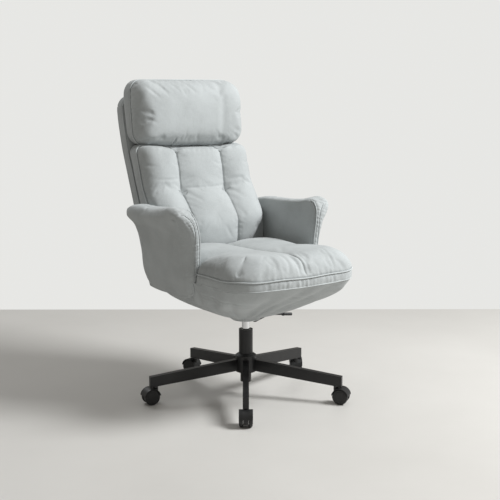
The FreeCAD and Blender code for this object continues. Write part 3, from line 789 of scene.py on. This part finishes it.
def make_back_cushion():
    low, high = node_box("back_cushion")
    half = high[0]
    base, top = low[2], high[2] + 0.004
    middle = (base + top) / 2
    thick, waist = 0.115, 0.054
    section = half_section(half, low=0, waist=waist, high=thick, foot=0.008, shoulder=0.058)
    outline = rounded_outline(half, (top - base) / 2, corner=0.030)
    points, faces, grid, rings = cushion_grid(outline, section, cells=(76, 84, 16))
    x, z, h = points.T
    x = gather_columns(x, grid, [-SEAM_AT, SEAM_AT])
    z = z + middle
    lid = top - z
    shoulder_arc = section[0][1 + ARC_STEPS:1 + 2 * ARC_STEPS]
    inset = np.interp(h, shoulder_arc[:, 1], half - shoulder_arc[:, 0])
    z = z + 0.85 * inset * smooth_step(0.30, 0.058, lid)
    z = z - droop(x) * smooth_step(0.76, top, z)
    taper = back_half_width(z) / BACK_HALF_WIDTH
    x = x * (1 + (taper - 1) * smooth_step(0.110, 0.200, np.abs(x)))
    rear = spine(z) - SHELL_DEPTH - CUSHION_GAP
    y = rear - (rear - curve_through(BACK_FRONT, z)) * h / thick
    obj = mesh_object("back_cushion_cover", np.column_stack([x, y, z]), faces, FABRIC)

    # three panels: two seams, each drawn in at a tuft, and a line of stitches between the tufts
    face = smooth_step(waist + 0.004, thick - 0.010, h)
    aside = np.abs(np.abs(x) - SEAM_AT)
    tuft = np.hypot(aside, z - TUFT_AT)
    between = np.where(np.abs(x) < SEAM_AT, 1.0, 0.0) * np.exp(-((z - TUFT_AT) / 0.014) ** 2)
    press(obj, -face * (0.010 * np.exp(-(aside / 0.030) ** 1.5) + 0.003 * np.exp(-(aside / 0.007) ** 2)
                        + 0.008 * np.exp(-(tuft / 0.045) ** 2) + 0.007 * np.exp(-(tuft / 0.013) ** 2)
                        + 0.0022 * between))
    seam = (aside < 0.001) & (h > waist)
    hold = seam | (tuft < 0.008) & (h > waist) | (np.abs(h - waist) < 0.002) | (h < 0.006)
    inflate(obj, hold, pressure=6.0, slack=0.014, cap=0.008)
    edge = points_of(obj)[rings[1]]
    subdivided(obj)

    x, y, z = points_of(obj).T
    ahead = spine(z) - SHELL_DEPTH - y
    seen = smooth_step(0.052, 0.072, ahead)
    aside = np.abs(np.abs(x) - SEAM_AT)
    depth = seen * stitched(aside)
    depth = depth + seen * pleats(z + 0.5 * aside, aside, pitch=0.022, reach=0.010, depth=0.0008, seed=11)
    rim = (0.2255 - np.abs(x)) * 0.8 + (ahead - 0.056) * 0.5
    side = smooth_step(0.12, 0.19, np.abs(x))
    depth = depth + side * seen * pleats(z - 0.8 * rim, rim, pitch=0.0125, reach=0.015, depth=0.0017, seed=12)
    lid = top - droop(x) - z
    depth = depth + seen * pleats(x + 0.3 * lid, lid, pitch=0.026, reach=0.014, depth=0.0009, seed=13)
    depth = depth + seen * creases(x, z,
                                   ((-0.105, 0.744), (-0.205, 0.748), 0.004, 0.0016),
                                   ((0.100, 0.735), (0.190, 0.744), 0.006, 0.0018),
                                   ((-SEAM_AT, TUFT_AT), (SEAM_AT, TUFT_AT + 0.002), 0.003, 0.0016),
                                   ((-0.085, 0.700), (-0.030, 0.665), 0.006, 0.0014),
                                   ((0.085, 0.698), (0.045, 0.660), 0.006, 0.0014),
                                   ((-0.085, 0.722), (-0.045, 0.735), 0.005, 0.0012),
                                   ((0.102, 0.705), (0.150, 0.670), 0.007, 0.0014),
                                   ((-0.080, 0.545), (-0.040, 0.600), 0.006, 0.0012),
                                   ((0.060, 0.530), (0.030, 0.580), 0.006, 0.0012))
    press(obj, depth)
    furrow(obj, evenly(edge, closed=True))
    add_piece(obj, "seat", ["back_cushion"])
    piping("back_welt", edge, radius=0.0027, push=0.0022, about=edge.mean(0))
    make_tufts(obj)


def make_tufts(cushion):
    """Two short stitches that hold each tuft down."""
    in_front = 0.24    # y from which the cushion's nearest point is looked for
    for side, name in ((-1, "left"), (1, "right")):
        for row, rise in enumerate((-0.0015, 0.0015)):
            path = []
            for across, lift in ((-0.005, 0.0), (-0.002, 0.0009), (0.002, 0.0009), (0.005, 0.0)):
                near = Vector((side * SEAM_AT + across, in_front, TUFT_AT + rise))
                on = cushion.closest_point_on_mesh(near)[1]
                path.append((on.x, on.y - lift, on.z))
            path = evenly(path, closed=False, step=0.001)
            stitch = tube("tuft_stitch_" + name + "_" + str(row), path, 0.0006, False, THREAD, sides=6)
            add_piece(stitch, "seat")


def make_back_shell():
    low, high = node_box("back_shell")
    half = high[0]
    base, top = low[2], high[2]
    middle = (base + top) / 2
    section = half_section(half, low=0, waist=SHELL_DEPTH - 0.012, high=SHELL_DEPTH, foot=0.013,
                           shoulder=0.010)
    outline = rounded_outline(half, (top - base) / 2, corner=0.055)
    points, faces, _, rings = cushion_grid(outline, section, cells=(60, 80, 7))
    x, z, h = points.T
    z = z + middle
    y = spine(z) - h
    y = y + 0.004 * (1 - (x / half) ** 4) * smooth_step(0.012, 0.0, h)
    obj = mesh_object("back_shell_cover", np.column_stack([x, y, z]), faces, FABRIC)
    hold = h > 0.008
    hold[rings[0]] = True
    inflate(obj, hold, pressure=1.5, slack=0.008, cap=0.004, frames=12)
    rear_edge, front_edge = points_of(obj)[rings[0]], points_of(obj)[rings[2]]
    subdivided(obj)
    x, y, z = points_of(obj).T
    rim = np.minimum(half - np.abs(x), top - z)
    behind = smooth_step(0.006, -0.002, spine(z) - y)
    press(obj, behind * pleats(z + 1.3 * x, rim, pitch=0.040, reach=0.018, depth=0.0008, seed=21))
    add_piece(obj, "seat", ["back_shell"])
    centre = rear_edge.mean(0)
    piping("shell_rear_welt", rear_edge, radius=0.0026, push=0.0012, about=centre)
    piping("shell_front_welt", front_edge, radius=0.0022, push=0.0006, about=centre)


def make_wing(side, name):
    """Upholstered panel that closes the corner between the back cushion and an arm."""
    base, top, deep = 0.440, 0.625, 0.05
    section = half_section(deep, low=0, waist=0.6 * deep, high=deep, foot=0.004, shoulder=0.010)
    outline = rounded_outline(deep, (top - base) / 2, corner=0.010)
    points, faces, _, _ = cushion_grid(outline, section, cells=(16, 40, 8))
    u, v, h = points.T
    z = v + (base + top) / 2
    inner, outer = back_half_width(z) - 0.014, 0.2362
    x = inner + (u / deep + 1) / 2 * (outer - inner)
    rear = spine(z) - SHELL_DEPTH - 0.002
    y = rear - (rear - 0.206 - 0.10 * (z - base)) * h / deep
    if side < 0:
        faces = [face[::-1] for face in faces]
    obj = mesh_object(name, np.column_stack([side * x, y, z]), faces, FABRIC)
    subdivided(obj)
    z = points_of(obj)[:, 2]
    press(obj, 0.0006 * ripples(z / 0.05, seed=61))
    add_piece(obj, "seat")


def pillow_rest(z):
    """y of the plane that the head pillow rests on."""
    return np.minimum(spine(z) - SHELL_DEPTH - CUSHION_GAP, 0.456)


def make_head_pillow():
    low, high = node_box("head_pillow")
    half = high[0]
    base, top = low[2], high[2] - 0.004
    middle = (base + top) / 2
    thick, waist = 0.118, 0.050
    section = half_section(half, low=0, waist=waist, high=thick, foot=0.010, shoulder=0.038, power=2.2)
    outline = rounded_outline(half - 0.002, (top - base) / 2, corner=0.046)
    points, faces, _, rings = cushion_grid(outline, section, cells=(84, 56, 16))
    x, z, h = points.T
    z = z + middle
    x = x * (1 - 0.030 * smooth_step(1.00, top, z))
    z = z - droop(x) * smooth_step(0.96, base, z)
    rear = pillow_rest(z)
    front = curve_through([(base, 0.328), (0.900, 0.319), (0.960, 0.316), (1.020, 0.321), (1.060, 0.332),
                           (top, 0.350)], z)
    y = rear - (rear - front) * h / thick
    obj = mesh_object("head_pillow_cover", np.column_stack([x, y, z]), faces, FABRIC)
    face = smooth_step(waist, thick, h)
    press(obj, -face * 0.0022 * np.exp(-((x - 0.118) / 0.018) ** 2) * smooth_step(0.87, 0.93, z))
    hold = (np.abs(h - waist) < 0.002) | (h < 0.008)
    inflate(obj, hold, pressure=5.0, slack=0.012, cap=0.008)
    edge = points_of(obj)[rings[1]]
    subdivided(obj)

    x, y, z = points_of(obj).T
    ahead = pillow_rest(z) - y
    seen = smooth_step(0.048, 0.062, ahead)
    rim = (half - 0.002 - np.abs(x)) * 0.8 + (ahead - 0.052) * 0.4
    side = smooth_step(0.13, 0.20, np.abs(x))
    depth = side * seen * pleats(z - 0.5 * rim, rim, pitch=0.016, reach=0.016, depth=0.0014, seed=31)
    rise = (z + droop(x) - base) * 0.9 + (ahead - 0.052) * 0.3
    lower, upper = smooth_step(0.99, 0.90, z), smooth_step(0.96, 1.04, z)
    gathers = pleats(x + 0.2 * rise, rise, pitch=0.024, reach=0.016, depth=0.0014, seed=32)
    depth = depth + seen * lower * gathers
    fall = (top - z) * 0.8 + (ahead - 0.052) * 0.4
    gathers = pleats(x + 0.7 * fall, fall, pitch=0.030, reach=0.024, depth=0.0013, seed=33)
    depth = depth + seen * upper * gathers
    depth = depth + seen * creases(x, z,
                                   ((0.112, 0.870), (0.120, 1.050), 0.012, 0.0014),
                                   ((-0.086, 0.855), (-0.080, 0.885), 0.004, 0.0048),
                                   ((-0.190, 1.072), (-0.145, 1.030), 0.006, 0.0022),
                                   ((-0.140, 1.082), (-0.105, 1.045), 0.005, 0.0022),
                                   ((-0.085, 1.084), (-0.055, 1.050), 0.006, 0.0018),
                                   ((-0.025, 1.084), (0.010, 1.048), 0.006, 0.0020),
                                   ((0.060, 1.080), (0.115, 1.040), 0.009, 0.0022),
                                   ((-0.205, 0.960), (-0.165, 0.945), 0.006, 0.0014),
                                   ((0.165, 0.920), (0.205, 0.900), 0.008, 0.0016))
    press(obj, depth)
    furrow(obj, evenly(edge, closed=True))
    add_piece(obj, "seat", ["head_pillow"])
    piping("pillow_welt", edge, radius=0.0021, push=0.0008, about=edge.mean(0))


# ---------------------------------------------------------------- arms

def make_arm(side, name):
    """side is 1 for the arm at +X and -1 for the one at -X."""
    low, high = node_box(name)
    base, top = low[2], high[2]
    front = [(y, z) for z, y in ARM_FRONT[1:]]
    sag = 0.003 * side
    over = [(-0.060, 0.670), (-0.034, top - 0.001), (0.030, 0.673 - sag), (0.150, 0.667 - sag),
            (0.250, 0.664 - sag), (0.290, 0.655)]
    rear = [(0.238, base + 0.006), (0.258, 0.420), (0.276, 0.520), (0.292, 0.600), (0.299, 0.628),
            (0.290, 0.655)]
    under = [front[0], (0.0, base + 0.003), (0.100, base + 0.001), (0.200, base + 0.002),
             (0.238, base + 0.006)]
    middle = (0.100, 0.530)
    thick = 0.050
    section = half_section(0.15, low=0, waist=0.024, high=thick, foot=0.012, shoulder=0.026, power=2.1)
    outline = four_sided_outline(front, over, rear, under, middle)
    points, faces, grid, rings = cushion_grid(outline, section, cells=(60, 60, 14))
    y, z, h = points.T
    share = h / thick
    ring = np.maximum(np.abs(grid[:, 0]), np.abs(grid[:, 1]))
    y, z = y + middle[0], z + middle[1]
    inner = curve_through([(base, 0.238), (0.590, 0.2368), (0.632, 0.242), (top, 0.253)], z)
    outer = curve_through([(base, 0.246), (0.395, 0.252), (0.440, 0.262), (0.520, 0.271), (0.575, 0.280),
                           (0.605, 0.291), (0.625, 0.308), (0.642, 0.319), (top, 0.318)], z)
    x = inner + share * (outer - inner)
    x = x + 0.003 * (1 - ring ** 4) * smooth_step(0.6, 1.0, share)
    z = z + share ** 2 * smooth_step(0.600, 0.645, z) * 0.017 * smooth_step(0.10, -0.04, y)
    if side < 0:
        faces = [face[::-1] for face in faces]
    obj = mesh_object(name + "_cover", np.column_stack([side * x, y, z]), faces, FABRIC)
    hold = (share < 0.05) & (ring < 0.9) | (z < base + 0.012)
    hold[rings[0]] = True
    hold[rings[1]] = True
    inflate(obj, hold, pressure=3.0, slack=0.012, cap=0.004)
    inner_edge = points_of(obj)[rings[0]]
    subdivided(obj)

    x, y, z = points_of(obj).T
    x = x * side
    strip = smooth_step(0.243, 0.252, x)
    ahead = np.clip(y - curve_through(ARM_FRONT, z), 0, 1)
    depth = pleats(z + 0.4 * x, ahead + 0.003, pitch=0.013, reach=0.011, depth=0.0016, seed=41 + side)
    near_top = np.exp(-np.clip(top - z, 0, 1) / 0.018)
    depth = depth + 0.0008 * strip * near_top * ripples(y / 0.070, seed=43 + side)
    outside = smooth_step(0.252, 0.264, x)
    inside = smooth_step(0.243, 0.239, x)
    depth = depth + outside * creases(y, z,
                                      ((-0.050, 0.632), (0.060, 0.560), 0.014, 0.0018),
                                      ((-0.040, 0.560), (0.030, 0.500), 0.012, 0.0014),
                                      ((0.180, 0.470), (0.240, 0.560), 0.014, 0.0016),
                                      ((0.000, 0.410), (0.120, 0.430), 0.012, 0.0014))
    depth = depth + inside * creases(y, z,
                                     ((-0.060, 0.640), (0.050, 0.590), 0.012, 0.0014),
                                     ((0.080, 0.560), (0.200, 0.600), 0.014, 0.0012))
    press(obj, depth)
    along_front = inner_edge[(inner_edge[:, 1] < -0.030) & (inner_edge[:, 2] > base + 0.012)]
    along_front = along_front[np.argsort(along_front[:, 2])]
    piping(name + "_inner_welt", along_front, radius=0.0021, closed=False, push=0.0004,
           about=(side * 0.27, middle[0], middle[1]))
    outer_seam = [(0.246, -0.047, 0.388), (0.251, -0.066, 0.425), (0.254, -0.079, 0.480),
                  (0.255, -0.085, 0.540), (0.255, -0.088, 0.590), (0.257, -0.087, 0.612),
                  (0.264, -0.083, 0.634), (0.276, -0.074, 0.649), (0.292, -0.058, 0.653),
                  (0.304, -0.040, 0.650)]
    outer_seam = laid(obj, [(side * a, b, c) for a, b, c in outer_seam])
    furrow(obj, evenly(along_front, closed=False))
    furrow(obj, outer_seam, width=0.0035, depth=0.0028)
    add_piece(obj, "seat", [name])
    piping(name + "_outer_welt", outer_seam, radius=0.0014, closed=False)


# ---------------------------------------------------------------- fabric bowl under the seat

# (bearing at the rim, at the mouth, depth, half width) in degrees and metres; 0 is -Y, positive to +X
DRAPES = [(-108, -72, 0.0110, 6), (-90, -60, 0.0080, 4), (-66, -50, 0.0105, 5), (-50, -38, 0.0085, 3.2),
          (-22, -34, 0.0115, 4.5), (2, -26, 0.0125, 5), (24, -8, 0.0110, 5), (46, 20, 0.0100, 5),
          (72, 52, 0.0095, 5.5), (104, 96, 0.0100, 6), (140, 150, 0.0095, 6), (-140, -150, 0.0100, 6),
          (176, 178, 0.0080, 7)]


def drape(bearing, share, start, end, depth, width):
    """Valley from one bearing at the rim to another at the mouth; share is 0..1 down it."""
    off = (bearing - start - (end - start) * share + 180) % 360 - 180
    return -groove(off, width * (1 - 0.35 * share), depth)


def sharp(wave):
    """The peaks of a wave alone, made narrower."""
    return np.clip(wave, 0, 2) ** 1.5


def make_under_shell():
    low, high = node_box("under_shell")
    rim, mouth = high[2] + 0.007, low[2] + 0.002
    # (height, half width), (height, y) of the front and of the rear, and (height, corner radius)
    half_at = [(mouth, 0.050), (0.282, 0.064), (0.306, 0.127), (0.352, 0.210), (0.400, 0.245),
               (rim, 0.2535)]
    front_at = [(mouth, -0.050), (0.282, -0.064), (0.306, -0.128), (0.352, -0.212), (0.400, -0.300),
                (rim, -0.338)]
    rear_at = [(mouth, 0.050), (0.282, 0.064), (0.306, 0.138), (0.352, 0.230), (0.400, 0.227), (rim, 0.234)]
    corner_at = [(mouth, 0.049), (0.282, 0.061), (0.306, 0.090), (0.352, 0.095), (0.400, 0.085),
                 (rim, 0.083)]
    around, down = 320, 44
    turn = np.arange(around) / around * 4
    part, along = turn.astype(int), 2 * (turn % 1) - 1
    ones = np.ones(around)
    u = np.choose(part, [along, ones, -along, -ones])
    v = np.choose(part, [-ones, along, ones, -along])
    rows = []
    for k in range(down + 1):
        share = k / down
        z = rim + (mouth - rim) * share ** 1.15
        half, front, rear, corner = (float(curve_through(stops, z))
                                     for stops in (half_at, front_at, rear_at, corner_at))
        corner = min(corner, half * 0.98, (rear - front) / 2 * 0.98)
        ring = rounded_outline(half, (rear - front) / 2, corner)(u, v)
        out = ring / np.linalg.norm(ring, axis=1, keepdims=True)
        bearing = np.degrees(np.arctan2(ring[:, 0], -ring[:, 1]))
        folds = np.sin(np.pi * min(1, share * 1.1)) * sum(drape(bearing, share, *fold) for fold in DRAPES)
        folds = folds + 0.0040 * share ** 2.5 * sharp(ripples(turn * 2.6, seed=52, waves=6, low=1, high=2))
        ring = ring - out * (0.0015 + folds)[:, None]
        bow = FRONT_BOW * (ring[:, 0] / half) ** 2 * smooth_step(0.0, front, ring[:, 1])
        bow = bow * smooth_step(0.5, 0.0, share)
        rows.append(np.column_stack([ring[:, 0], ring[:, 1] + (front + rear) / 2 + bow,
                                     np.full(around, z)]))
    outer = np.array(rows)
    faces = []
    for k in range(down):
        for i in range(around):
            n = (i + 1) % around
            faces.append((k * around + i, (k + 1) * around + i, (k + 1) * around + n, k * around + n))
    obj = mesh_object("under_shell_cover", outer.reshape(-1, 3), faces, FABRIC)
    thicken = obj.modifiers.new("cloth", "SOLIDIFY")
    thicken.thickness = 0.0028
    thicken.offset = -1
    apply_modifiers(obj)
    subdivided(obj)
    shade_smooth(obj.data)
    x, y, z = points_of(obj).T
    bearing = np.degrees(np.arctan2(x, -y))
    slope = 0.0022 * bearing
    press(obj, creases(slope, z,
                       ((-0.160, 0.405), (-0.040, 0.380), 0.006, 0.0032),
                       ((-0.050, 0.400), (0.050, 0.385), 0.007, 0.0030),
                       ((-0.150, 0.370), (-0.080, 0.300), 0.006, 0.0030),
                       ((-0.020, 0.370), (-0.060, 0.300), 0.006, 0.0026),
                       ((0.060, 0.390), (0.010, 0.310), 0.006, 0.0030),
                       ((0.120, 0.370), (0.060, 0.320), 0.007, 0.0026),
                       ((-0.220, 0.390), (-0.160, 0.330), 0.007, 0.0026),
                       ((-0.082, 0.274), (-0.090, 0.306), 0.0022, 0.0034)))
    add_piece(obj, "seat", ["under_shell"])
    piping("mouth_hem", outer[-1] + [0, 0, 0.001], radius=0.0024)


# ---------------------------------------------------------------- the whole

def dress_cad_nodes():
    """Gives every carried-over CAD object its procedural material."""
    for part in frame["record"]["subparts"]:
        mesh = bpy.data.objects[part["node"]].data
        mesh.materials.clear()
        mesh.materials.append(MATERIALS[part["material_slot"]])


make_camera()
make_studio()
dress_cad_nodes()
make_seat_cushion()
make_back_cushion()
make_head_pillow()
make_back_shell()
make_wing(1, "back_wing_right")
make_wing(-1, "back_wing_left")
make_arm(1, "arm_right")
make_arm(-1, "arm_left")
make_under_shell()
